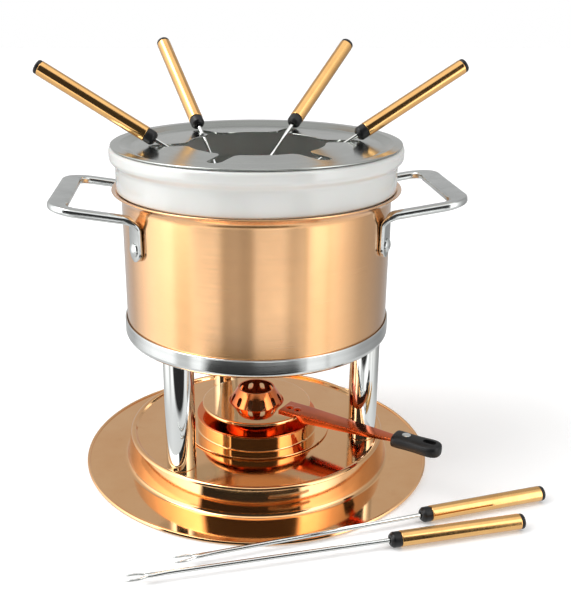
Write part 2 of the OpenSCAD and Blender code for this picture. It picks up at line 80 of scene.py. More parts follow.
# Stand ring
RING_T = 1.2
RING_HOLE = 60.0
RING_CORNER = 3.5
RING_EDGE = 0.55

# Burner: cup, chimney with its bulge, and the air holes' count, size and height above the lid
CUP_R = 41.0
CHIMNEY_FOOT = 20.0
CHIMNEY_MOUTH = 12.5
CHIMNEY_BULGE = 1.3
AIR_HOLES = 12
AIR_HOLE_W = 3.4
AIR_HOLE_H = 6.2
AIR_HOLE_Z = 7.8

# Regulator: the strap's direction, and places along it measured out from the set's axis
STRAP_DIR = 327.0
STRAP_SHEET = 0.9
DISC_RIVETS = (27.0, 33.0)
GRIP_START = 104.0
GRIP_RIVET = 112.0
STRAP_END = 117.8
GRIP_END = 134.9
GRIP_W = 14.4

# Pot: flare of the lip, lining, and the handles' turn about the pot, reach, half width, arm, outer
# bar, thickness, outer corner, tilt, edges, tang and rivets
FLARE = 6.0
LINING = 0.8
HANDLE_PHASE = 4.0
HANDLE_REACH = 41.5
HALF_WIDTH = 50.0
ARM_W = 8.0
BAR_W = 12.0
HANDLE_T = 4.6
HANDLE_CORNER = 19.0
HANDLE_TILT = 9.0
HANDLE_EDGE = 1.7
TANG_W = 12.5
TANG_T = 3.0
TANG_EDGE = 1.2
RIVET_INSET = 6.7
RIVET_HEAD = 4.3
RIVET_RISE = 2.0
RIVET_SHANK = 2.4

# Crock, then the guard with its opening and its notches for the forks
COLLAR_OUT = 3.0
CROCK_WALL = 3.6
SHOULDER_DEPTH = 27.2
LIP_DEPTH = 9.0
BOWL_CORNER = 12.0
GUARD_T = 1.0
GUARD_DROP = 2.4
GUARD_OPENING = 43.0
NOTCHES = 6
NOTCH_PHASE = 8.0
NOTCH_HALF = 4.5
NOTCH_END = 67.0
NOTCH_FILLET = 7.0

# Taken off a measured radius, so that no piece stands out of the CAD's facets
CAD_MARGIN = 0.02

# Forks: their numbers, shaft, bore of the ferrule, and the length and spread of the prongs
FORKS = (1, 2, 3, 4, 5, 6)
SHAFT_R = 1.3
FERRULE_BORE = 1.36
PRONG = 14.0
PRONG_SPREAD = 4.8


# ---- measuring the frame

def box(node):
    """Lowest and highest corner of a CAD node, in mm."""
    low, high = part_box(node)
    return low / MM, high / MM


def radius(node):
    """Outer radius of a round node that is centred on the set's axis."""
    low, high = box(node)
    return (high.y - low.y) / 2


def about_z(angle):
    """Turn about the set's axis, as a matrix."""
    return Matrix.Rotation(radians(angle), 4, "Z")


def turned(x, y, angle):
    """The point (x, y) turned about the set's axis."""
    a = radians(angle)
    return x * cos(a) - y * sin(a), x * sin(a) + y * cos(a)


# ---- outlines

def arc(x, z, r, start, end, steps=12):
    """Points along an arc in an outline."""
    turn = [radians(start + (end - start) * i / steps) for i in range(steps + 1)]
    return [(x + r * cos(a), z + r * sin(a)) for a in turn]


def filleted(corners, steps=FILLET_STEPS, closed=True):
    """An outline whose corners, given as (x, z, fillet), are rounded by their fillets."""
    points = []
    count = len(corners)
    for i, (x, z, r) in enumerate(corners):
        at_end = not closed and i in (0, count - 1)
        if r <= 0 or at_end:
            points.append((x, z))
            continue
        here = Vector((x, z))
        before = (Vector(corners[i - 1][:2]) - here).normalized()
        after = (Vector(corners[(i + 1) % count][:2]) - here).normalized()
        half = before.angle(after) / 2
        reach = r / tan(half)
        centre = here + (before + after).normalized() * (r / sin(half))
        first = here + before * reach - centre
        last = here + after * reach - centre
        sweep = first.angle_signed(last)
        for k in range(steps + 1):
            spoke = first.copy()
            spoke.rotate(Matrix.Rotation(-sweep * k / steps, 2))
            points.append(tuple(centre + spoke))
    return points


def runs_round(outline):
    """Whether an outline goes all the way round: one that starts on the axis ends there too."""
    return outline[0][0] > ON_AXIS


def supported(points, gap=SUPPORT):
    """The outline with a point close to each end of its long straight runs, so that the shading
    of a small fillet doesn't spread over the flat beside it."""
    closed = runs_round(points)
    result = []
    count = len(points)
    for i in range(count if closed else count - 1):
        a, b = Vector(points[i]), Vector(points[(i + 1) % count])
        result.append(tuple(a))
        run = (b - a).length
        if run > 4 * gap:
            step = (b - a) / run * gap
            result += [tuple(a + step), tuple(b - step)]
    if not closed:
        result.append(points[-1])
    return result


# ---- meshes

def verts_in(geometry):
    """The vertices among what an operator made."""
    return [v for v in geometry if isinstance(v, bmesh.types.BMVert)]


def ring_of(bm, points):
    """A closed loop of vertices on these points, in mm."""
    verts = [bm.verts.new(Vector(p) * MM) for p in points]
    for a, b in zip(verts, verts[1:] + verts[:1]):
        bm.edges.new((a, b))
    return verts


def spun(outline, steps=ROUND_STEPS):
    """A solid of revolution about Z, from an outline of (radius, height)."""
    bm = bmesh.new()
    verts = [bm.verts.new((x * MM, 0, z * MM)) for x, z in outline]
    pairs = list(zip(verts, verts[1:]))
    if runs_round(outline):
        pairs.append((verts[-1], verts[0]))
    edges = [bm.edges.new(p) for p in pairs if max(p[0].co.x, p[1].co.x) > ON_AXIS * MM]
    bmesh.ops.spin(
        bm, geom=verts + edges, cent=(0, 0, 0), axis=(0, 0, 1), dvec=(0, 0, 0),
        angle=2 * pi, steps=steps, use_merge=True, use_normal_flip=False,
        use_duplicate=False,
    )
    return bm


def lathed(corners, fillet_steps=FILLET_STEPS, gap=SUPPORT, steps=ROUND_STEPS):
    """A solid of revolution from corners (radius, height, fillet)."""
    return spun(supported(filleted(corners, fillet_steps, runs_round(corners)), gap), steps)


def swept(sections):
    """A closed tube through rings of points, all with the same number of points."""
    bm = bmesh.new()
    ring = ring_of(bm, sections[0])
    bm.faces.new(ring)
    for points in sections[1:]:
        edges = [bm.edges.get(pair) for pair in zip(ring, ring[1:] + ring[:1])]
        fresh = set(verts_in(bmesh.ops.extrude_edge_only(bm, edges=edges)["geom"]))
        moved = []
        for vert, point in zip(ring, points):
            twin = next(e.other_vert(vert) for e in vert.link_edges
                        if e.other_vert(vert) in fresh)
            twin.co = Vector(point) * MM
            moved.append(twin)
        ring = moved
    bm.faces.new(ring)
    return bm


def prism(points, low, high):
    """An upright prism from a plan outline of (x, y) points."""
    bm = bmesh.new()
    face = bm.faces.new(ring_of(bm, [(x, y, low) for x, y in points]))
    top = verts_in(bmesh.ops.extrude_face_region(bm, geom=[face])["geom"])
    bmesh.ops.translate(bm, verts=top, vec=(0, 0, (high - low) * MM))
    return bm


def placed(bm, matrix):
    """The mesh moved by a matrix whose lengths are in mm."""
    scaled = matrix.copy()
    scaled.translation = scaled.translation * MM
    bmesh.ops.transform(bm, matrix=scaled, verts=bm.verts)
    return bm


def joined(parts):
    """Several meshes as one."""
    whole = parts[0]
    for part in parts[1:]:
        copy = bpy.data.meshes.new("part")
        part.to_mesh(copy)
        part.free()
        whole.from_mesh(copy)
        bpy.data.meshes.remove(copy)
    return whole


def new_mesh(name, bm):
    """A Blender mesh from a bmesh, closed, facing outwards."""
    bmesh.ops.remove_doubles(bm, verts=bm.verts, dist=1e-6)
    bmesh.ops.recalc_face_normals(bm, faces=bm.faces)
    mesh = bpy.data.meshes.new(name)
    bm.to_mesh(mesh)
    bm.free()
    return mesh


def linked(name, data):
    """A new object in the scene."""
    thing = bpy.data.objects.new(name, data)
    bpy.context.scene.collection.objects.link(thing)
    return thing


def cut(bm, cutters):
    """The mesh with the cutters taken away from it."""
    blank, cutter = (linked(name, new_mesh(name, part))
                     for name, part in (("blank", bm), ("cutter", joined(cutters))))
    tool = blank.modifiers.new("cut", "BOOLEAN")
    tool.operation, tool.solver, tool.object = "DIFFERENCE", "EXACT", cutter
    bpy.context.view_layer.update()
    graph = bpy.context.evaluated_depsgraph_get()
    result = bmesh.new()
    result.from_mesh(blank.evaluated_get(graph).to_mesh())
    for thing in (blank, cutter):
        mesh = thing.data
        bpy.data.objects.remove(thing)
        bpy.data.meshes.remove(mesh)
    return result


def piece(name, bm, body, finish, node, sharp=32):
    """A finished piece of the set that rides on a CAD body and replaces a CAD node."""
    mesh = new_mesh(name, bm)
    mesh.shade_smooth()
    mesh.set_sharp_from_angle(angle=radians(sharp))
    mesh.materials.append(finish)
    thing = linked(name, mesh)
    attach(thing, body)
    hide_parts(node)
    return thing


def refinish(node, finish):
    """Gives a CAD node a better material."""
    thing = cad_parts[node]
    thing.data.materials.clear()
    thing.data.materials.append(finish)


# ---- materials

class Nodes:
    """A node tree under construction."""

    def __init__(self, tree):
        self.tree = tree

    def add(self, kind, inputs=(), **settings):
        """A node with its settings, its inputs linked to sockets or set to values."""
        node = self.tree.nodes.new(kind)
        for key, value in settings.items():
            setattr(node, key, value)
        for key, value in dict(inputs).items():
            if isinstance(value, bpy.types.NodeSocket):
                self.tree.links.new(value, node.inputs[key])
            else:
                node.inputs[key].default_value = value
        return node

    def maths(self, operation, a, b):
        return self.add("ShaderNodeMath", {0: a, 1: b}, operation=operation).outputs["Value"]

    def length(self, vector):
        return self.add("ShaderNodeVectorMath", {0: vector}, operation="LENGTH").outputs["Value"]

    def from_front(self, split):
        """Angle round the vertical axis, in degrees from the front, of a split direction."""
        front = self.maths("MULTIPLY", split.outputs["Y"], -1.0)
        angle = self.maths("ARCTAN2", split.outputs["X"], front)
        return self.maths("MULTIPLY", angle, 180 / pi)

    def mixed(self, factor, a, b):
        """Two colours mixed, each a socket or three numbers."""
        a, b = ((*c, 1) if isinstance(c, tuple) else c for c in (a, b))
        return self.add("ShaderNodeMix", {0: factor, 6: a, 7: b}, data_type="RGBA").outputs[2]

    def ramp(self, value, low, high, stops):
        """Brightness by (position, value) stops between two ends."""
        share = self.add("ShaderNodeMapRange", {"Value": value, "From Min": low,
                                                "From Max": high})
        node = self.add("ShaderNodeValToRGB", {"Fac": share.outputs["Result"]})
        elements = node.color_ramp.elements
        while len(elements) > 1:
            elements.remove(elements[-1])
        for i, (position, bright) in enumerate(stops):
            spot = (position - low) / (high - low)
            element = elements[0] if i == 0 else elements.new(spot)
            element.position = spot
            element.color = (bright, bright, bright, 1)
        return node.outputs["Color"]


class Finish(Nodes):
    """A material under construction."""

    def __init__(self, name, **values):
        self.material = bpy.data.materials.new(name)
        self.material.use_nodes = True
        super().__init__(self.material.node_tree)
        self.shader = self.tree.nodes["Principled BSDF"]
        for key, value in values.items():
            self.shader.inputs[key.replace("_", " ").title()
                               .replace("Ior", "IOR")].default_value = value
        self.place = self.tree.nodes.new("ShaderNodeTexCoord").outputs["Object"]

    def scaled(self, scale, vector=None):
        """The place on the piece, stretched: a large scale makes a pattern fine."""
        return self.add("ShaderNodeMapping",
                        {"Vector": vector or self.place, "Scale": scale}).outputs["Vector"]

    def rings(self, scale):
        """A place that runs outwards from the set's axis and upwards, for turned lines."""
        split = self.add("ShaderNodeSeparateXYZ", {"Vector": self.place})
        flat = self.add("ShaderNodeCombineXYZ",
                        {"X": split.outputs["X"], "Y": split.outputs["Y"]})
        both = self.add("ShaderNodeCombineXYZ", {
            "X": self.length(flat.outputs["Vector"]), "Z": split.outputs["Z"]})
        return self.scaled((scale, 1, scale), both.outputs["Vector"])

    def noise(self, vector, scale=1.0, detail=2.0, roughness=0.5, distortion=0.0):
        return self.add("ShaderNodeTexNoise", {
            "Vector": vector, "Scale": scale, "Detail": detail,
            "Roughness": roughness, "Distortion": distortion}).outputs["Fac"]

    def remap(self, value, low, high, to_low, to_high):
        return self.add("ShaderNodeMapRange", {
            "Value": value, "From Min": low, "From Max": high,
            "To Min": to_low, "To Max": to_high}).outputs["Result"]

    def blended(self, value, low, high, a, b):
        """One colour up to the low value, going over to the other at the high value."""
        return self.mixed(self.remap(value, low, high, 0, 1), a, b)

    def bump(self, height, depth, strength=1.0, normal=None):
        """Relief whose full height is depth, in mm."""
        inputs = {"Height": height, "Strength": strength, "Distance": depth * MM}
        if normal:
            inputs["Normal"] = normal
        return self.add("ShaderNodeBump", inputs).outputs["Normal"]

    def done(self, colour, roughness, normal):
        """The finished material with these sockets on its shader."""
        for key, value in (("Base Color", colour), ("Roughness", roughness),
                           ("Normal", normal)):
            self.tree.links.new(value, self.shader.inputs[key])
        return self.material

    def shown_by(self, shader):
        """The finished material with another shader on its surface."""
        self.tree.links.new(shader.outputs[0],
                            self.tree.nodes["Material Output"].inputs["Surface"])
        return self.material


def toned(colour, *by):
    """A colour whose three parts are multiplied, all by one number or each by its own."""
    return tuple(c * k for c, k in zip(colour, by if len(by) == 3 else by * 3))


# ---- finishes

def polished_copper(name, tint, deep, shine):
    """Mirror-polished copper plate, with turned lines, faint waves and a little tarnish."""
    f = Finish(name, metallic=1.0, coat_weight=0.25, coat_roughness=0.03)
    lines = f.noise(f.rings(2600), 1, 3)
    smudge = f.noise(f.place, 24, 4, 0.6)
    tarnish = f.remap(f.noise(f.place, 62, 5, 0.65, 0.4), 0.58, 0.8, 0.0, 0.5)
    colour = f.mixed(tarnish, f.blended(smudge, 0.3, 0.7, tint, deep),
                     toned(deep, 0.9, 0.82, 0.75))
    rough = f.maths("ADD", f.remap(smudge, 0.3, 0.75, shine, shine + 0.05),
                    f.remap(lines, 0.35, 0.65, 0, 0.03))
    wave = f.bump(f.noise(f.place, 26, 1), 0.12, 0.5)
    return f.done(colour, rough, f.bump(lines, 0.0016, 0.35, wave))


def brushed_copper(name, tint, deep):
    """Copper cladding brushed round the pot, under a clear lacquer."""
    f = Finish(name, metallic=1.0, anisotropic=0.7, anisotropic_rotation=0.25,
               coat_weight=1.0, coat_roughness=0.12, coat_ior=1.75)
    brush = f.noise(f.scaled((22, 22, 3400)), 1, 3, 0.6)
    stain = f.noise(f.place, 21, 4, 0.6)
    colour = f.blended(stain, 0.35, 0.75, tint, deep)
    rough = f.remap(f.maths("ADD", brush, f.maths("MULTIPLY", stain, 0.5)),
                    0.5, 1.0, 0.2, 0.28)
    tangent = f.add("ShaderNodeTangent", direction_type="RADIAL", axis="Z")
    f.tree.links.new(tangent.outputs["Tangent"], f.shader.inputs["Tangent"])
    return f.done(colour, rough, f.bump(brush, 0.002, 0.4, f.bump(stain, 0.05, 0.3)))


def polished_steel(name, tint, shine, grain=0.002):
    """Polished or chromed steel with hairline scratches and faint water marks."""
    f = Finish(name, metallic=1.0)
    marks = f.noise(f.place, 40, 5, 0.6)
    hair = f.noise(f.scaled((1500, 1500, 60)), 1, 2, 0.6, 0.4)
    cross = f.noise(f.scaled((90, 1900, 1400)), 1, 2, 0.6, 0.3)
    scratch = f.remap(f.maths("MAXIMUM", hair, cross), 0.62, 0.78, 0, 1)
    colour = f.blended(marks, 0.35, 0.7, tint, toned(tint, 1.0, 0.985, 0.96))
    rough = f.maths("ADD", f.remap(marks, 0.3, 0.75, shine, shine + 0.05),
                    f.maths("MULTIPLY", scratch, 0.05))
    wave = f.bump(f.noise(f.place, 30, 1), 0.08, 0.4)
    return f.done(colour, rough, f.bump(scratch, grain, 0.5, wave))


def turned_steel(name, tint, low, high):
    """Sheet steel finished in rings on a lathe."""
    f = Finish(name, metallic=1.0)
    ring = f.noise(f.rings(1900), 1, 3, 0.6)
    broad = f.noise(f.rings(210), 1, 2)
    marks = f.noise(f.place, 33, 4, 0.6)
    colour = f.blended(f.maths("ADD", broad, marks), 0.7, 1.3, tint, toned(tint, 0.86))
    rough = f.remap(f.maths("ADD", ring, marks), 0.6, 1.4, low, high)
    wave = f.bump(f.noise(f.place, 24, 1), 0.1, 0.4)
    return f.done(colour, rough, f.bump(ring, 0.003, 0.5, wave))


def cast_steel(name, tint):
    """Cast stainless that was tumbled bright: softly uneven, with fine pits."""
    f = Finish(name, metallic=1.0)
    lump = f.noise(f.place, 150, 3)
    pits = f.noise(f.place, 1500, 3, 0.65)
    marks = f.noise(f.place, 48, 4, 0.6)
    colour = f.blended(marks, 0.35, 0.7, tint, toned(tint, 0.84))
    rough = f.maths("ADD", f.remap(marks, 0.3, 0.7, 0.12, 0.2),
                    f.remap(pits, 0.55, 0.75, 0, 0.12))
    wave = f.bump(lump, 0.06, 0.6)
    return f.done(colour, rough, f.bump(pits, 0.01, 0.35, wave))


def woven_wire():
    """Drawn steel wire, dulled by heat."""
    f = Finish("gauze_wire", metallic=1.0)
    heat = f.noise(f.place, 90, 4, 0.6)
    draw = f.noise(f.scaled((3000, 3000, 3000)), 1, 3)
    colour = f.mixed(heat, (0.42, 0.4, 0.38), (0.2, 0.17, 0.16))
    return f.done(colour, f.remap(draw, 0.3, 0.7, 0.3, 0.5), f.bump(draw, 0.006, 0.5))


def mineral_felt():
    """Pressed mineral-fibre felt, pale and matt."""
    f = Finish("felt", sheen_weight=0.4, sheen_roughness=0.6)
    fibre = f.noise(f.scaled((1200, 1200, 3000)), 1, 5, 0.7, 1.2)
    cloud = f.noise(f.place, 70, 4)
    colour = f.mixed(f.maths("MULTIPLY", fibre, cloud), (0.82, 0.79, 0.71),
                     (0.55, 0.51, 0.43))
    return f.done(colour, f.remap(fibre, 0.3, 0.7, 0.85, 1.0), f.bump(fibre, 0.25, 0.8))


def black_plastic(name, grain, gloss):
    """Moulded black plastic with a fine spark grain, rubbed a little smoother in places."""
    f = Finish(name, ior=1.42)
    spark = f.noise(f.place, 2600, 3, 0.6)
    rub = f.noise(f.place, 55, 4, 0.6)
    colour = f.blended(rub, 0.35, 0.7, (0.005, 0.005, 0.006), (0.013, 0.013, 0.013))
    rough = f.maths("ADD", f.remap(rub, 0.3, 0.7, gloss, gloss + 0.12),
                    f.remap(spark, 0.4, 0.7, 0, 0.06))
    return f.done(colour, rough, f.bump(spark, grain, 0.4))


def white_glaze():
    """Glossy white glaze over a fired body, with a soft orange-peel and pinholes."""
    f = Finish("glaze", coat_weight=0.7, coat_roughness=0.04, coat_ior=1.5, ior=1.5,
               subsurface_weight=0.08, subsurface_scale=0.004)
    pool = f.noise(f.place, 18, 3)
    speck = f.remap(f.noise(f.place, 900, 2), 0.73, 0.8, 0, 1)
    colour = f.blended(pool, 0.3, 0.7, (0.73, 0.735, 0.71), (0.68, 0.685, 0.66))
    colour = f.mixed(f.maths("MULTIPLY", speck, 0.25), colour, (0.45, 0.42, 0.38))
    rough = f.remap(pool, 0.3, 0.7, 0.1, 0.18)
    peel = f.bump(f.noise(f.place, 240, 2), 0.02, 0.4)
    return f.done(colour, rough, f.bump(pool, 0.3, 0.15, peel))


def gold_tube(name, tint, deep):
    """Gold-coloured plate on a drawn tube: fine lines along it and rubbed, paler patches."""
    f = Finish(name, metallic=1.0, coat_weight=0.3, coat_roughness=0.05)
    drawn = f.noise(f.scaled((700, 700, 700)), 1, 3, 0.6)
    rub = f.noise(f.place, 70, 4, 0.6)
    colour = f.blended(rub, 0.3, 0.7, tint, deep)
    rough = f.maths("ADD", f.remap(rub, 0.3, 0.7, 0.1, 0.18),
                    f.remap(drawn, 0.4, 0.7, 0, 0.06))
    return f.done(colour, rough, f.bump(drawn, 0.003, 0.4))


# Each copper and the gold have a tint and a deeper one
COPPER = (0.93, 0.55, 0.27), (0.88, 0.48, 0.215)
CLADDING = (0.93, 0.51, 0.21), (0.88, 0.45, 0.17)
HEATED = (0.88, 0.26, 0.07), (0.75, 0.14, 0.035)
# Strap tint: copper deepened towards red, and painted darker still as a painted reflection of the
# pot's dark underside on the strap
STRAP_PAINTED_DARK = (0.78, 0.16, 0.04), (0.5, 0.085, 0.02)
GOLD = (0.84, 0.49, 0.18), (0.75, 0.41, 0.14)
STEEL = (0.74, 0.76, 0.75)
GUARD = (0.56, 0.58, 0.55)
LINER = (0.6, 0.61, 0.61)
CAST = (0.68, 0.70, 0.69)

tray_copper = polished_copper("tray_copper", *COPPER, 0.05)
burner_copper = polished_copper("burner_copper", *COPPER, 0.04)
chimney_copper = polished_copper("chimney_copper", *HEATED, 0.07)
# Strap and its rivets: the dark red tint is partly painted reflection of the pot's dark underside
strap_copper = polished_copper("strap_copper", *STRAP_PAINTED_DARK, 0.1)
pot_copper = brushed_copper("pot_copper", *CLADDING)
chrome = polished_steel("chrome", STEEL, 0.03)
fork_steel = polished_steel("fork_steel", STEEL, 0.12, 0.003)
guard_steel = turned_steel("guard_steel", GUARD, 0.09, 0.2)
ring_steel = turned_steel("ring_steel", STEEL, 0.08, 0.16)
liner_steel = turned_steel("liner_steel", LINER, 0.2, 0.34)
handle_steel = cast_steel("handle_steel", CAST)
gauze_wire = woven_wire()
felt = mineral_felt()
grip_plastic = black_plastic("grip_plastic", 0.016, 0.36)
trim_plastic = black_plastic("trim_plastic", 0.01, 0.3)
glaze = white_glaze()
gold = gold_tube("gold", *GOLD)


# ---- tray and stand

def tray():
    """One pressed and spun copper sheet: raised platform, half-round ridge, drafted wall, flat
    brim and rolled bead."""
    out = radius("tray")
    top = box("leg_left")[0].z
    lean = radians(WALL_DRAFT)
    wall_x = RIDGE_X + RIDGE_R * cos(lean)
    wall_z = top + RIDGE_R * sin(lean)
    foot_z = TRAY_T + FOOT_FILLET
    foot_x = wall_x + (wall_z - foot_z) * tan(lean) + FOOT_FILLET / cos(lean)
    upper = [(0, top), (RIDGE_X - RIDGE_R - 1.4, top)]
    upper += arc(RIDGE_X - RIDGE_R - 1.0, top + 0.6, 0.6, -90, -30, 5)
    upper += arc(RIDGE_X, top, RIDGE_R, 150, WALL_DRAFT, 18)
    upper += arc(foot_x, foot_z, FOOT_FILLET, 180 + WALL_DRAFT, 270, 14)
    upper += arc(out - BEAD_R, BEAD_R, BEAD_R, 175, -90, 22)
    under = arc(foot_x, foot_z, FOOT_FILLET + TRAY_T, 270, 180 + WALL_DRAFT, 10)
    under += arc(RIDGE_X, top, RIDGE_R - TRAY_T, WALL_DRAFT, 180, 8)
    under += [(RIDGE_X - RIDGE_R, top - TRAY_T), (0, top - TRAY_T)]
    piece("tray_plate", spun(supported(upper + under)), "stand", tray_copper,
          "tray", sharp=40)


def leg(node):
    """Upright chromed leg with a rounded edge at its foot and its head."""
    low, high = box(node)
    r = (high.x - low.x) / 2
    edge = 0.5
    bm = lathed([(0, low.z, 0), (r, low.z, edge), (r, high.z, edge), (0, high.z, 0)],
                steps=96)
    middle = Vector(((low.x + high.x) / 2, (low.y + high.y) / 2, 0))
    bm = placed(bm, Matrix.Translation(middle))
    piece(node + "_tube", bm, "stand", chrome, node)


def stand_ring():
    """Pressed steel ring with a rounded lower edge and a lip that carries the pot."""
    low, high = box("stand_ring")
    out = radius("stand_ring")
    inside = out - RING_T
    bm = lathed([
        (RING_HOLE, low.z, 0.5), (out, low.z, RING_CORNER), (out, high.z, RING_EDGE),
        (inside, high.z, RING_EDGE), (inside, low.z + RING_T, RING_CORNER - RING_T),
        (RING_HOLE, low.z + RING_T, 0.5)], 10)
    piece("stand_ring_band", bm, "stand", ring_steel, "stand_ring",
          sharp=40)


# ---- burner

def burner_bowl():
    """Fuel bowl with a wide foot."""
    low, high = box("burner_cup")
    flange = radius("burner_cup")
    floor = low.z + SHEET
    bm = lathed([
        (0, low.z, 0), (flange, low.z, 0.45), (flange, floor, 0.45), (CUP_R, floor, 0.9),
        (CUP_R, high.z, 0.2), (CUP_R - SHEET, high.z, 0.2), (CUP_R - SHEET, floor, 0.6),
        (0, floor, 0)])
    piece("burner_bowl", bm, "burner", burner_copper, "burner_cup",
          sharp=40)


def chimney_r(height):
    """Radius of the bulged chimney at a height above the lid."""
    tall = box("burner_cover")[1].z - lid_z()
    share = height / tall
    straight = CHIMNEY_FOOT - (CHIMNEY_FOOT - CHIMNEY_MOUTH) * share
    return straight + CHIMNEY_BULGE * sin(pi * share)


def lid_z():
    """Height of the flat top of the burner's lid."""
    return box("burner_cup")[1].z + GAP + SHEET


def burner_lid():
    """Lid with a skirt inside the bowl and a bulged chimney with upright air holes."""
    low, high = box("burner_cover")
    top = lid_z()
    tall = high.z - top
    skirt = CUP_R - SHEET - GAP
    steps = 14
    outer = [(chimney_r(tall * i / steps), top + tall * i / steps) for i in range(steps + 1)]
    inner = [(x - SHEET, z) for x, z in reversed(outer)]
    outer = filleted([(CUP_R, top, 0.7), (outer[0][0], top, 1.0)]
                     + [(x, z, 0) for x, z in outer[2:]], 6, closed=False)[1:]
    lid = filleted([
        (inner[-1][0], top - SHEET, 0.4), (skirt - SHEET, top - SHEET, 0),
        (skirt - SHEET, low.z, 0.3), (skirt, low.z, 0.3), (skirt, top - SHEET, 0),
        (CUP_R, top - SHEET, 0.25), (CUP_R, top, 0.7), (CUP_R - 2, top, 0)],
        6, closed=False)
    blank = spun(supported(outer + inner + lid))
    half = AIR_HOLE_W / 2
    flat = AIR_HOLE_H / 2 - half
    outline = arc(0, flat, half, 0, 180, 10) + arc(0, -flat, half, 180, 360, 10)
    middle = top + AIR_HOLE_Z + AIR_HOLE_H / 2
    stand = Matrix(((0, 0, 1, 0), (1, 0, 0, 0), (0, 1, 0, middle), (0, 0, 0, 1)))
    bores = []
    for i in range(AIR_HOLES):
        bore = prism(outline, 5, CHIMNEY_FOOT + 4)
        bores.append(placed(bore, about_z((i + 0.5) * 360 / AIR_HOLES) @ stand))
    piece("burner_lid", cut(blank, bores), "burner", chimney_copper,
          "burner_cover", sharp=38)


def gauze():
    """Plain-woven wire disc under the chimney's mouth."""
    low, high = box("burner_gauze")
    out = radius("burner_gauze") - 0.3
    level = (low.z + high.z) / 2
    pitch, wire, sides = 1.25, 0.13, 5
    count = int(out / pitch)
    parts = []
    for across in (0, 1):
        for i in range(-count, count + 1):
            offset = i * pitch
            half = sqrt(out * out - offset * offset)
            steps = max(4, int(half * 4 / pitch))
            rings = []
            for k in range(steps + 1):
                along = -half + 2 * half * k / steps
                lift = wire * cos(pi * along / pitch) * (-1) ** (i + across)
                ring = []
                for s in range(sides):
                    a = 2 * pi * s / sides
                    p = (along, offset + wire * cos(a), level + lift + wire * sin(a))
                    ring.append((p[1], p[0], p[2]) if across else p)
                rings.append(ring)
            parts.append(swept(rings))
    piece("burner_gauze_weave", joined(parts), "burner", gauze_wire,
          "burner_gauze", sharp=80)


def pad():
    """Felt pad that soaks up the fuel: a soft-edged disc with a slightly crowned, uneven top."""
    low, high = box("fuel_pad")
    out = radius("fuel_pad") - 0.2
    crown, uneven = 0.5, 0.12
    steps = 10
    top = []
    for i in range(steps + 1):
        inward = 1 - i / steps
        sag = crown * inward ** 2 * 0.2 + crown * (1 - cos(pi * inward)) / 4
        top.append((out * 0.93 * inward, high.z - sag))
    outline = filleted([(0, low.z + 0.1, 0), (out, low.z + 0.1, 1.2), (out, high.z - 0.6, 1.6)]
                       + [(x, z, 0) for x, z in top], 8, closed=False)
    bm = spun(outline, 96)
    bmesh.ops.remove_doubles(bm, verts=bm.verts, dist=1e-6)
    for vert in bm.verts:
        if vert.co.z > (low.z + 1) * MM:
            vert.co.z -= random.uniform(0, uneven) * MM
    thing = piece("fuel_pad_felt", bm, "burner", felt, "fuel_pad", sharp=70)


def regulator_dish():
    """Polished disc with a turned-down edge that sits round the chimney."""
    top = box("regulator_disc")[1].z
    out = radius("regulator_disc")
    play, lip = 0.35, 2.0
    inside = chimney_r(top - lid_z() - SHEET) + play
    bm = lathed([
        (inside, top - SHEET, 0.35), (out - SHEET, top - SHEET, 0.6),
        (out - SHEET, top - lip, 0.3), (out, top - lip, 0.3), (out, top, 1.3),
        (inside, top, 0.45)])
    piece("regulator_dish", bm, "regulator", burner_copper,
          "regulator_disc", sharp=40)


def regulator_strap():
    """Folded copper strap: a flat top with a flange along each side, deep beside the disc and
    shallow at the grip."""
    top = box("regulator_strap")[1].z
    disc = radius("regulator_disc")
    near = top - box("regulator_disc")[1].z - GAP
    # Distance from the axis, width and depth of each section
    stations = [(23, 16.8, near), (disc - 0.6, 16.8, near), (disc + 0.7, 16.8, near + 0.8),
                (disc + 3.4, 16.6, 4.6), (disc + 6, 16.0, 4.5), (60, 13.9, 3.9),
                (80, 11.0, 3.1), (96, 8.4, 2.3), (GRIP_START, 7, 1.7),
                (STRAP_END, 6.8, 1.4)]
    sheet = STRAP_SHEET
    sections = []
    for x, width, depth in stations:
        half = width / 2
        drop = max(depth, sheet + 0.05)
        under = sheet if depth > sheet + 0.1 else drop * 0.8
        corners = [(-half, -drop, 0.2), (-half, 0, 0.55), (half, 0, 0.55), (half, -drop, 0.2),
                   (half - sheet, -drop, 0.2), (half - sheet, -under, 0.1),
                   (-half + sheet, -under, 0.1), (-half + sheet, -drop, 0.2)]
        ring = filleted(corners, 4)
        sections.append([(*turned(x, y, STRAP_DIR), top + z) for y, z in ring])
    piece("regulator_strap_folded", swept(sections), "regulator",
          strap_copper, "regulator_strap", sharp=36)


def oval(width, height, count=40):
    """Points round a squared oval: the power is 2 for an ellipse and more for squarer ones."""
    power = 2.9
    points = []
    for i in range(count):
        a = 2 * pi * i / count
        c, s = cos(a), sin(a)
        points.append((copysign(abs(c) ** (2 / power), c) * width / 2,
                       copysign(abs(s) ** (2 / power), s) * height / 2))
    return points


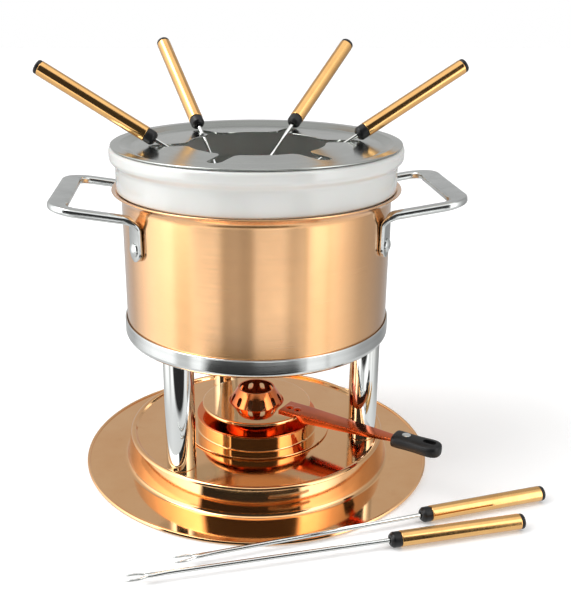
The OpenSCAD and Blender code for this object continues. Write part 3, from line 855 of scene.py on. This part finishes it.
def regulator_grip():
    """Moulded grip with a slanted nose, swelling to a round tail with a long hanging hole."""
    low, high = box("regulator_grip")
    middle = (low.z + high.z) / 2
    thick = high.z - low.z
    # Share of the length, and of the full width and thickness there
    shape = [(0.0, 0.86, 0.84), (0.012, 0.92, 0.92), (0.035, 0.96, 0.98), (0.1, 0.97, 1.0),
             (0.16, 0.96, 1.0), (0.25, 0.94, 0.98), (0.4, 0.93, 0.96), (0.55, 0.95, 0.96),
             (0.68, 0.99, 0.98), (0.78, 1.0, 1.0), (0.86, 0.96, 0.99), (0.92, 0.85, 0.95),
             (0.965, 0.66, 0.86), (0.99, 0.42, 0.72), (1.0, 0.2, 0.5)]
    sections = []
    for share, w, t in shape:
        x = GRIP_START + (GRIP_END - GRIP_START) * share
        ring = []
        for y, z in oval(GRIP_W * w, thick * t):
            ring.append((*turned(x, y, STRAP_DIR), middle + z))
        sections.append(ring)
    hole = []
    for x0, a0 in ((GRIP_END - 9.5, 90), (GRIP_END - 5.5, -90)):
        hole += arc(x0, 0, 2.2, a0, a0 + 180, 12)
    plan = [turned(x, y, STRAP_DIR) for x, y in hole]
    bm = cut(swept(sections), [prism(plan, low.z - 2, high.z + 2)])
    piece("regulator_grip_moulding", bm, "regulator", grip_plastic,
          "regulator_grip", sharp=45)


def dome(head_r, head_h, shank_r, bottom, top):
    """A rivet with a domed head on top and a flat one below, its shank between two heights."""
    rim = head_h * 0.3
    rise = head_h - rim
    cap = (head_r ** 2 + rise ** 2) / (2 * rise)
    edge = degrees(asin(head_r / cap))
    over = arc(0, top + head_h - cap, cap, 90, 90 - edge, 10)
    outline = over + [(head_r, top), (shank_r, top), (shank_r, bottom),
                      (head_r * 0.85, bottom), (head_r * 0.8, bottom - head_h * 0.45),
                      (0, bottom - head_h * 0.5)]
    return spun(outline, SMALL_STEPS)


def small_rivets():
    """Rivets that hold the strap on the disc, and the one through the grip."""
    level = box("strap_rivets")
    heads = []
    for x in DISC_RIVETS:
        heads.append(placed(dome(2.6, 0.9, 1.6, level[0].z + 0.75, level[1].z - 0.85),
                            Matrix.Translation((*turned(x, 0, STRAP_DIR), 0))))
    piece("strap_rivet_heads", joined(heads), "regulator", strap_copper,
          "strap_rivets")
    level = box("grip_rivet")
    bm = placed(dome(2.7, 0.7, 1.6, level[0].z + 0.6, level[1].z - 0.68),
                Matrix.Translation((*turned(GRIP_RIVET, 0, STRAP_DIR), 0)))
    piece("grip_rivet_head", bm, "regulator", chrome, "grip_rivet")


# ---- pot

POT_R = radius("pot_liner") + GAP + SHEET
POT_INSIDE = POT_R - SHEET - GAP - LINING
TANG_FOOT = POT_R + GAP
RIVET_ANGLE = asin((HALF_WIDTH - RIVET_INSET) / TANG_FOOT)
COLLAR = POT_R + COLLAR_OUT
MOUTH = COLLAR - CROCK_WALL


def pot_shell():
    """Copper cladding with a rounded foot and a flared lip."""
    low, high = box("pot_shell")
    lip = high.z - SHEET / 2
    flare_z = high.z - SHEET - FLARE
    middle = POT_R + FLARE
    corner = 4.0
    outline = [(0, low.z)] + arc(POT_R - corner, low.z + corner, corner, -90, 0, 12)
    outline += arc(middle, flare_z, FLARE, 180, 97, 16)
    outline += arc(middle - 0.5, lip, SHEET / 2, -80, 80, 8)
    outline += arc(middle, flare_z, FLARE + SHEET, 97, 180, 16)
    outline += arc(POT_R - corner, low.z + corner, corner - SHEET, 0, -90, 8)
    outline += [(0, low.z + SHEET)]
    piece("pot_cladding", spun(supported(outline)), "pot", pot_copper,
          "pot_shell", sharp=40)


def pot_liner():
    """Steel lining of the pot, under the crock."""
    low, high = box("pot_liner")
    out = radius("pot_liner")
    corner = 2.95
    inside, floor = out - LINING, low.z + LINING
    bm = lathed([
        (0, low.z, 0), (out, low.z, corner), (out, high.z, 0.2), (inside, high.z, 0.2),
        (inside, floor, corner - LINING), (0, floor, 0)], 10)
    piece("pot_lining", bm, "pot", liner_steel, "pot_liner", sharp=40)


def rounded_section(centre, across, through, width, thick, fillet):
    """Ring of points round a rectangle with rounded corners, in the plane of two directions."""
    w, t = width / 2, thick / 2
    r = min(fillet, w * 0.9, t * 0.9)
    flat = filleted([(w, t, r), (-w, t, r), (-w, -t, r), (w, -t, r)], 5)
    return [tuple(centre + across * u + through * v) for u, v in flat]


def handle_sections(reach, root_z, tang_low):
    """Sections of half a loop handle, from the foot of its tang to the middle of its bar.
    X points out of the pot and Z up."""
    out = Vector((cos(RIVET_ANGLE), sin(RIVET_ANGLE), 0))
    along = Vector((-sin(RIVET_ANGLE), cos(RIVET_ANGLE), 0))
    up = Vector((0, 0, 1))
    wall = TANG_FOOT + TANG_T / 2
    sections = []
    # The tang's round foot
    for angle in range(6, 91, 14):
        a = radians(angle)
        z = tang_low + TANG_W / 2 * (1 - cos(a))
        sections.append(rounded_section(out * wall + up * z, along, out,
                                        TANG_W * sin(a), TANG_T, TANG_EDGE))
    # The bend from the tang to the arm
    tilt = radians(HANDLE_TILT)
    bend = 7.0
    elbow_z = root_z - bend
    start = out * wall
    side = Vector((0, 1, 0))
    arm_y = HALF_WIDTH - ARM_W / 2
    bend_steps = 12
    for i in range(1, bend_steps + 1):
        share = i / bend_steps
        a = share * (pi / 2 - tilt)
        eased = share * share * (3 - 2 * share)
        heading = Vector((out.lerp(Vector((1, 0, 0)), eased)[:2] + (0,))).normalized()
        centre = start + up * (elbow_z + bend * sin(a)) + heading * bend * (1 - cos(a))
        centre.y += (arm_y - start.y) * eased
        across = along.lerp(side, eased).normalized()
        normal = (heading * cos(a) - up * sin(a)).normalized()
        width = TANG_W + (ARM_W - TANG_W) * eased
        thick = TANG_T + (HANDLE_T - TANG_T) * eased
        sections.append(rounded_section(centre, across, normal, width, thick, HANDLE_EDGE))
    last = centre
    flat_up = Vector((-sin(tilt), 0, cos(tilt)))

    def on_plate(x, y):
        """Point of the tilted plate above a plan place measured out from the pot's axis."""
        climb = (x - last.x) * tan(tilt)
        return Vector((x, y, last.z + climb))

    # The straight arm
    far = reach - HANDLE_CORNER
    straight = 5
    for i in range(1, straight):
        x = last.x + (far - last.x) * i / straight
        sections.append(rounded_section(on_plate(x, arm_y), side, -flat_up, ARM_W, HANDLE_T,
                                        HANDLE_EDGE))
    # The outer corner, where the arm widens to the bar
    inner_r = HANDLE_CORNER - ARM_W
    corner_y = HALF_WIDTH - HANDLE_CORNER
    steps = 14
    for i in range(steps + 1):
        a = radians(90 - 90 * i / steps)
        shift = (BAR_W - ARM_W) * (1 - sin(a))
        outer = on_plate(far + HANDLE_CORNER * cos(a),
                         corner_y + HANDLE_CORNER * sin(a))
        inner = on_plate(far - shift + inner_r * cos(a),
                         corner_y + inner_r * sin(a))
        width = outer - inner
        sections.append(rounded_section((outer + inner) / 2, width.normalized(), -flat_up,
                                        width.length, HANDLE_T, HANDLE_EDGE))
    # Half of the bar
    bar = on_plate(reach - BAR_W / 2, 0)
    across = (on_plate(reach, 0) - on_plate(reach - 1, 0)).normalized()
    for y in (20.0, 10.0, 0.0):
        sections.append(rounded_section(Vector((bar.x, y, bar.z)), across, -flat_up,
                                        BAR_W, HANDLE_T, HANDLE_EDGE))
    return sections


def pot_handle(side, node, rivets):
    """Cast loop with its two tangs, swept round as one piece, and its two domed rivets."""
    root_z = box("pot_shell")[1].z - SHEET - FLARE - HANDLE_T / 2 - 0.35
    half = handle_sections(POT_R + HANDLE_REACH, root_z - 0.05, box(node)[0].z + 0.05)
    mirrored = [[(x, -y, z) for x, y, z in ring] for ring in reversed(half[:-1])]
    turn = about_z(HANDLE_PHASE + side)
    loop = placed(swept(half + mirrored), turn)
    piece(node + "_cast", loop, "pot", handle_steel, node, sharp=50)
    level = box(rivets)
    z = (level[0].z + level[1].z) / 2
    heads = []
    up = Matrix.Translation((0, 0, z))
    stand = Matrix.Rotation(pi / 2, 4, "Y")
    inner = sqrt(POT_INSIDE ** 2 - RIVET_HEAD ** 2) - GAP
    for sign in (-1, 1):
        spread = Matrix.Rotation(sign * RIVET_ANGLE, 4, "Z")
        head = dome(RIVET_HEAD, RIVET_RISE, RIVET_SHANK, inner, TANG_FOOT + TANG_T + GAP)
        heads.append(placed(head, turn @ spread @ up @ stand))
    piece(rivets + "_domed", joined(heads), "pot", handle_steel, rivets)


# ---- crock and guard

def crock():
    """Glazed crock: rounded lip over a plain collar, shoulder on the pot's lip, deep bowl."""
    low, high = box("crock")
    lip_r = radius("crock")
    play = 2.4
    bowl = POT_INSIDE - play
    inside = bowl - CROCK_WALL
    floor = low.z + CROCK_WALL
    shoulder = high.z - SHOULDER_DEPTH
    lip_z = high.z - LIP_DEPTH
    bm = lathed([
        (0, low.z, 0), (bowl - 14, low.z, 0.8), (bowl - 13, low.z + 0.8, 0.8),
        (bowl, low.z + 1.2, BOWL_CORNER), (bowl, shoulder, 0.4),
        (COLLAR - 1.2, shoulder, 0.3), (COLLAR, shoulder + 1.2, 0.9),
        (COLLAR, lip_z - 2.2, 4.5), (lip_r, lip_z + 1.6, 4.0), (lip_r, high.z, 2.6),
        (MOUTH, high.z, 1.5), (MOUTH, shoulder + 4, 3), (inside, shoulder - 6, 4),
        (inside, floor, BOWL_CORNER - CROCK_WALL + 4), (0, floor, 0)], 10, 0.5)
    piece("crock_bowl", bm, "crock", glaze, "crock", sharp=50)


def notch_outline():
    """Plan of one fork notch, open towards the middle, with rounded shoulders."""
    fillet_at = GUARD_OPENING + NOTCH_FILLET
    y = NOTCH_HALF + NOTCH_FILLET
    x = sqrt(fillet_at ** 2 - y ** 2)
    lean = degrees(atan2(y, x))
    side = arc(x, y, NOTCH_FILLET, 180 + lean, 270, 10)
    nose = arc(NOTCH_END - NOTCH_HALF, 0, NOTCH_HALF, 90, -90, 16)
    inner = (GUARD_OPENING - 6) / fillet_at
    upper = [(x * inner, y * inner)] + side
    lower = [(px, -py) for px, py in reversed(upper)]
    return upper + nose + lower


def fork_guard():
    """Dished steel ring with a rolled rim, a big opening and six fork notches."""
    low, high = box("fork_guard")
    out = radius("fork_guard") - CAD_MARGIN
    top = high.z
    plate = top - GUARD_DROP
    crown = 1.2
    edge = GUARD_T * 0.48
    seat, rise = MOUTH - 6, MOUTH - 1
    steps = [GUARD_OPENING + 5 * i for i in range(1, 7)]
    slope = [(x, plate + crown * (seat - x) / (seat - GUARD_OPENING), 0) for x in steps]
    upper = [(GUARD_OPENING, plate + crown, 0.42)] + slope + [
        (seat, plate, 3.0), (rise + 1.5, top, 1.6), (out, top, edge)]
    lower = [(x, z - GUARD_T, r) for x, z, r in reversed(upper)]
    lower[:2] = (out, top - GUARD_T, edge), (rise + 1.9, top - GUARD_T, 2.4)
    notches = []
    for i in range(NOTCHES):
        bore = prism(notch_outline(), low.z - 3, high.z + 3)
        notches.append(placed(bore, about_z(NOTCH_PHASE + 360 / NOTCHES * i)))
    piece("fork_guard_sheet", cut(lathed(upper + lower, 8, 0.4), notches), "guard",
          guard_steel, "fork_guard", sharp=35)


# ---- forks

def vertices(node):
    """A CAD node's different corner points, in mm."""
    co = np.array([v.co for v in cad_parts[node].data.vertices], float) / MM
    return np.unique(co.round(3), axis=0)


def fork_frame(name):
    """Where a fork lies: its matrix, with Z along the fork towards the butt, and the distances
    along it of the tips, the ferrule, the tube and the cap."""
    tube = vertices(name + "_handle")
    middle = (tube.min(0) + tube.max(0)) / 2
    axis = np.linalg.svd(tube - tube.mean(0))[2][0]
    cap = vertices(name + "_cap").mean(0)
    if (cap - middle) @ axis < 0:
        axis = -axis
    z = Vector(axis).normalized()
    x = Vector((-z.y, z.x, 0)).normalized()
    y = z.cross(x)
    matrix = Matrix((x, y, z)).transposed().to_4x4()
    matrix.translation = Vector(middle)

    def span(part):
        offset = vertices(name + part) - middle
        along = offset @ np.array(z)
        away = np.linalg.norm(offset - np.outer(along, np.array(z)), axis=1)
        return along.min(), along.max(), away.max() - CAD_MARGIN

    return matrix, span("_shaft"), span("_ferrule"), span("_handle"), span("_cap")


def circle(x, z, r, count, flat=1.0):
    """Ring of points at a distance from the fork's axis, flattened if flat is under 1."""
    turn = [2 * pi * i / count for i in range(count)]
    return [(x + r * cos(a), r * flat * sin(a), z) for a in turn]


def fork_steel_shape(tip, end):
    """Shaft with two tapered prongs that spread from a flattened root."""
    root = tip + PRONG
    # Height above the root, half the width and the flatness of each section
    shaft = [(-3.5, 0.5, 1.0), (-3.2, 1.1, 0.8), (-1.5, 1.75, 0.66), (1, 1.95, 0.62),
             (4, 1.7, 0.74), (9, 1.32, 0.95), (14, SHAFT_R, 1.0), (end - root, SHAFT_R, 1.0)]
    parts = [swept([circle(0, root + z, r, 20, flat) for z, r, flat in shaft])]
    inset = 0.75
    steps = 18
    for sign in (-1, 1):
        rings = []
        for i in range(steps + 1):
            share = i / steps
            z = root + 1 - (PRONG + 1) * share
            eased = min(1.0, share * 1.6)
            eased = eased * eased * (3 - 2 * eased)
            x = sign * (inset + (PRONG_SPREAD / 2 - inset) * eased)
            thin = 0.86 - 0.2 * share if share < 0.8 else 0.7 * (1 - share) / 0.2 + 0.08
            rings.append(circle(x, z, thin, 12))
        parts.append(swept(rings))
    return joined(parts)


def fork(index):
    """One fork: steel, black ferrule, gold tube and black butt cap."""
    name = f"fork_{index}"
    matrix, shaft, ferrule, tube, cap = fork_frame(name)

    def add(part, bm, finish, node, sharp=40):
        piece(f"{name}_{part}", placed(bm, matrix), name, finish, f"{name}_{node}",
              sharp)

    add("prongs", fork_steel_shape(shaft[0], shaft[1]), fork_steel,
        "shaft", 60)
    start, end, r = ferrule
    collar = lathed([
        (FERRULE_BORE, start + 1.2, 0.2), (1.9, start, 0.3), (3.2, start, 1.2),
        (r, start + 1.7, 1.6), (r, end - 0.7, 0.3), (r - 0.25, end - 0.4, 0.15),
        (r - 0.25, end, 0), (FERRULE_BORE, end, 0)], 6, 0.2, SMALL_STEPS)
    add("ferrule_ring", collar, trim_plastic, "ferrule")
    start, end, r = tube
    edge = 0.35
    body = lathed([(0, start, 0), (r, start, edge), (r, end, edge), (0, end, 0)],
                  5, 0.3, 64)
    add("gold_tube", body, gold, "handle")
    start, end, r = cap
    butt = lathed([(0, start, 0), (r - 0.15, start, 0.1), (r, start + 0.5, 0.3),
                   (r, end - 0.1, 1.1), (r * 0.55, end, 0.4), (0, end - 0.25, 0)],
                  6, 0.2, SMALL_STEPS)
    add("butt_cap", butt, trim_plastic, "cap")


# ---- studio

# Stage, in metres and degrees from the front: floor, dark card and lamp strip. Then the world's
# brightness at the back and overhead, the soft box, and the camera
FLOOR_REACH = 4.0
FLOOR_Z = -0.0003
CARD_LOW, CARD_HIGH, CARD_Z = (-0.21, -0.345), (0.185, -0.165), 0.001
STRIP_R, STRIP_H, STRIP_STEPS = 0.1185, 0.0088, 48
STRIP_FROM, STRIP_TO = -80, 70
BACK = 0.55
ABOVE = 1.25
KEY_AT, KEY_TARGET = Vector((-0.6, -0.1, 1.1)), Vector((0, 0, 0.1))
KEY_W, KEY_H, KEY_WATTS = 0.7, 0.5, 5.0
CAMERA_AT, CAMERA_DOWN = (0, -0.5524, 0.3089), 20.06
LENS_MM, SENSOR_MM, SHIFT_X = 52.24, 36.0, 0.0478


def stage(name, bm, finish):
    """A stage object from a mesh in metres."""
    mesh = bpy.data.meshes.new(name)
    bm.to_mesh(mesh)
    bm.free()
    mesh.materials.append(finish)
    thing = linked(name, mesh)
    return thing


def sheet_on(name, low, high, z, finish):
    """A flat stage sheet between two corners, in metres."""
    bm = bmesh.new()
    bmesh.ops.create_grid(bm, x_segments=1, y_segments=1, size=0.5)
    middle = ((low[0] + high[0]) / 2, (low[1] + high[1]) / 2, z)
    bmesh.ops.scale(bm, verts=bm.verts, vec=(high[0] - low[0], high[1] - low[1], 1))
    bmesh.ops.translate(bm, verts=bm.verts, vec=middle)
    return stage(name, bm, finish)


def floor_paper():
    """Pale paper that glows a little."""
    f = Finish("floor_paper", roughness=0.95, base_color=(0.9, 0.9, 0.9, 1),
               emission_color=(1, 1, 1, 1), emission_strength=0.2)
    return f.material


def soft_velvet(low, high):
    """Black cloth for reflections, an oval between two corners whose edge fades out."""
    f = Finish("soft_velvet", roughness=1.0, base_color=(0.002, 0.002, 0.002, 1))
    wide, deep = high[0] - low[0], high[1] - low[1]
    centre = f.add("ShaderNodeMapping", {
        "Vector": f.place, "Scale": (2 / wide, 2 / deep, 0),
        "Location": (-(low[0] + high[0]) / wide, -(low[1] + high[1]) / deep, 0)})
    away = f.length(centre.outputs["Vector"])
    clear = f.add("ShaderNodeBsdfTransparent")
    return f.shown_by(f.add("ShaderNodeMixShader", {
        0: f.remap(away, 0.8, 1.0, 0, 1), 1: f.shader.outputs[0], 2: clear.outputs[0]}))


def strip_glow():
    """Light of the lamp strip: dark in the middle and bright towards its ends."""
    f = Finish("strip_light")
    turn = f.from_front(f.add("ShaderNodeSeparateXYZ", {"Vector": f.place}))
    glow = f.ramp(turn, -100, 100, [
        (-95, 0.5), (-70, 0.8), (-52, 1.6), (-40, 2.4), (-31, 2.6), (-28.5, 0.03),
        (22, 0.03), (24.5, 2.5), (36, 2.2), (50, 0.9), (70, 0.5), (95, 0.4)])
    return f.shown_by(f.add("ShaderNodeEmission", {"Color": glow, "Strength": 1.0}))


def lamp_strip():
    """Upright band of light along the tray's front edge."""
    bm = bmesh.new()
    turn = [radians(STRIP_FROM + (STRIP_TO - STRIP_FROM) * i / STRIP_STEPS)
            for i in range(STRIP_STEPS + 1)]
    verts = [bm.verts.new((STRIP_R * sin(a), -STRIP_R * cos(a), 0)) for a in turn]
    edges = [bm.edges.new(pair) for pair in zip(verts, verts[1:])]
    raised = verts_in(bmesh.ops.extrude_edge_only(bm, edges=edges)["geom"])
    bmesh.ops.translate(bm, verts=raised, vec=(0, 0, STRIP_H))
    return stage("lamp_strip", bm, strip_glow())


def surroundings():
    """World of soft boxes round the set. Each zone of height has its own brightness by the
    angle from the front, and the camera itself sees plain white."""
    world = bpy.data.worlds.new("studio_world")
    bpy.context.scene.world = world
    world.use_nodes = True
    world.node_tree.nodes.clear()
    n = Nodes(world.node_tree)
    direction = n.add("ShaderNodeTexCoord").outputs["Generated"]
    split = n.add("ShaderNodeSeparateXYZ", {"Vector": direction})
    turn = n.from_front(split)
    ground = n.ramp(turn, -180, 180, [
        (-180, 0.6), (-120, 0.75), (-60, 0.95), (0, 0.85), (60, 0.95), (120, 0.7), (180, 0.6)])
    under = n.ramp(turn, -180, 180, [
        (-180, BACK), (-132, 0.55), (-112, 1.1), (-100, 1.45), (-76, 1.55), (-70, 0.8),
        (-60, 0.74), (-54, 1.5), (-33, 1.6), (-27, 0.66), (-17, 0.82), (-10, 0.62),
        (-4, 0.66), (0, 1.5), (22, 1.65), (29, 0.95), (40, 1.1), (42, 0.62), (44, 1.25),
        (60, 1.15), (63, 0.66), (66, 1.1), (78, 0.95), (98, 0.5), (134, 0.34), (180, BACK)])
    level = n.ramp(turn, -180, 180, [
        (-180, BACK), (-140, 0.6), (-118, 0.95), (-96, 1.8), (-75, 2.9), (-58, 3.2),
        (-51, 0.05), (41, 0.05), (47, 2.9), (62, 2.4), (78, 1.1), (100, 0.55), (130, 0.42),
        (150, BACK), (180, BACK)])

    def zone(below, above, low, high):
        """Goes over from one brightness to another across a band of height."""
        rise = n.add("ShaderNodeMapRange", {
            "Value": split.outputs["Z"], "From Min": low, "From Max": high},
            interpolation_type="SMOOTHSTEP").outputs["Result"]
        return n.mixed(rise, below, above)

    low = zone(ground, under, -0.46, -0.4)
    sky = zone(zone(low, level, -0.235, -0.2), (ABOVE, ABOVE, ABOVE), 0.8, 0.9)
    rays = n.add("ShaderNodeLightPath").outputs["Is Camera Ray"]
    lit = n.add("ShaderNodeBackground", {"Color": sky, "Strength": 1.0})
    plain = n.add("ShaderNodeBackground", {"Color": (1, 1, 1, 1), "Strength": 1.0})
    pick = n.add("ShaderNodeMixShader", {"Fac": rays, 1: lit.outputs[0], 2: plain.outputs[0]})
    n.add("ShaderNodeOutputWorld", {"Surface": pick.outputs[0]})


def key_light():
    """Soft box high on the left."""
    lamp = bpy.data.lights.new("key_box", "AREA")
    lamp.shape, lamp.size, lamp.size_y, lamp.energy = "RECTANGLE", KEY_W, KEY_H, KEY_WATTS
    key = linked("key_box", lamp)
    key.location = KEY_AT
    key.rotation_euler = (KEY_TARGET - KEY_AT).to_track_quat("-Z", "Y").to_euler()


def studio():
    """Pale floor, a dark card and a lamp strip that only reflections see, world and lamp."""
    floor = sheet_on("floor", (-FLOOR_REACH, -FLOOR_REACH), (FLOOR_REACH, FLOOR_REACH), FLOOR_Z,
                     floor_paper())
    floor.visible_glossy = False
    card = sheet_on("dark_card", CARD_LOW, CARD_HIGH, CARD_Z, soft_velvet(CARD_LOW, CARD_HIGH))
    for thing in (card, lamp_strip()):
        thing.visible_camera = thing.visible_diffuse = thing.visible_shadow = False
    surroundings()
    key_light()
    bpy.context.scene.view_settings.view_transform = "Standard"


def camera():
    """Camera at the set's front, a little above it."""
    data = bpy.data.cameras.new("camera")
    data.sensor_width, data.lens, data.shift_x = SENSOR_MM, LENS_MM, SHIFT_X
    data.clip_start = 0.01
    thing = linked("camera", data)
    thing.location = CAMERA_AT
    thing.rotation_euler = (radians(90 - CAMERA_DOWN), 0, 0)
    bpy.context.scene.camera = thing


tray()
for name in ("leg_left", "leg_right", "leg_back"):
    leg(name)
stand_ring()
refinish("leg_screws", chrome)
burner_bowl()
burner_lid()
gauze()
pad()
regulator_dish()
regulator_strap()
regulator_grip()
small_rivets()
pot_shell()
pot_liner()
pot_handle(0, "pot_handle_right", "pot_rivets_right")
pot_handle(180, "pot_handle_left", "pot_rivets_left")
crock()
fork_guard()
for number in FORKS:
    fork(number)
studio()
camera()
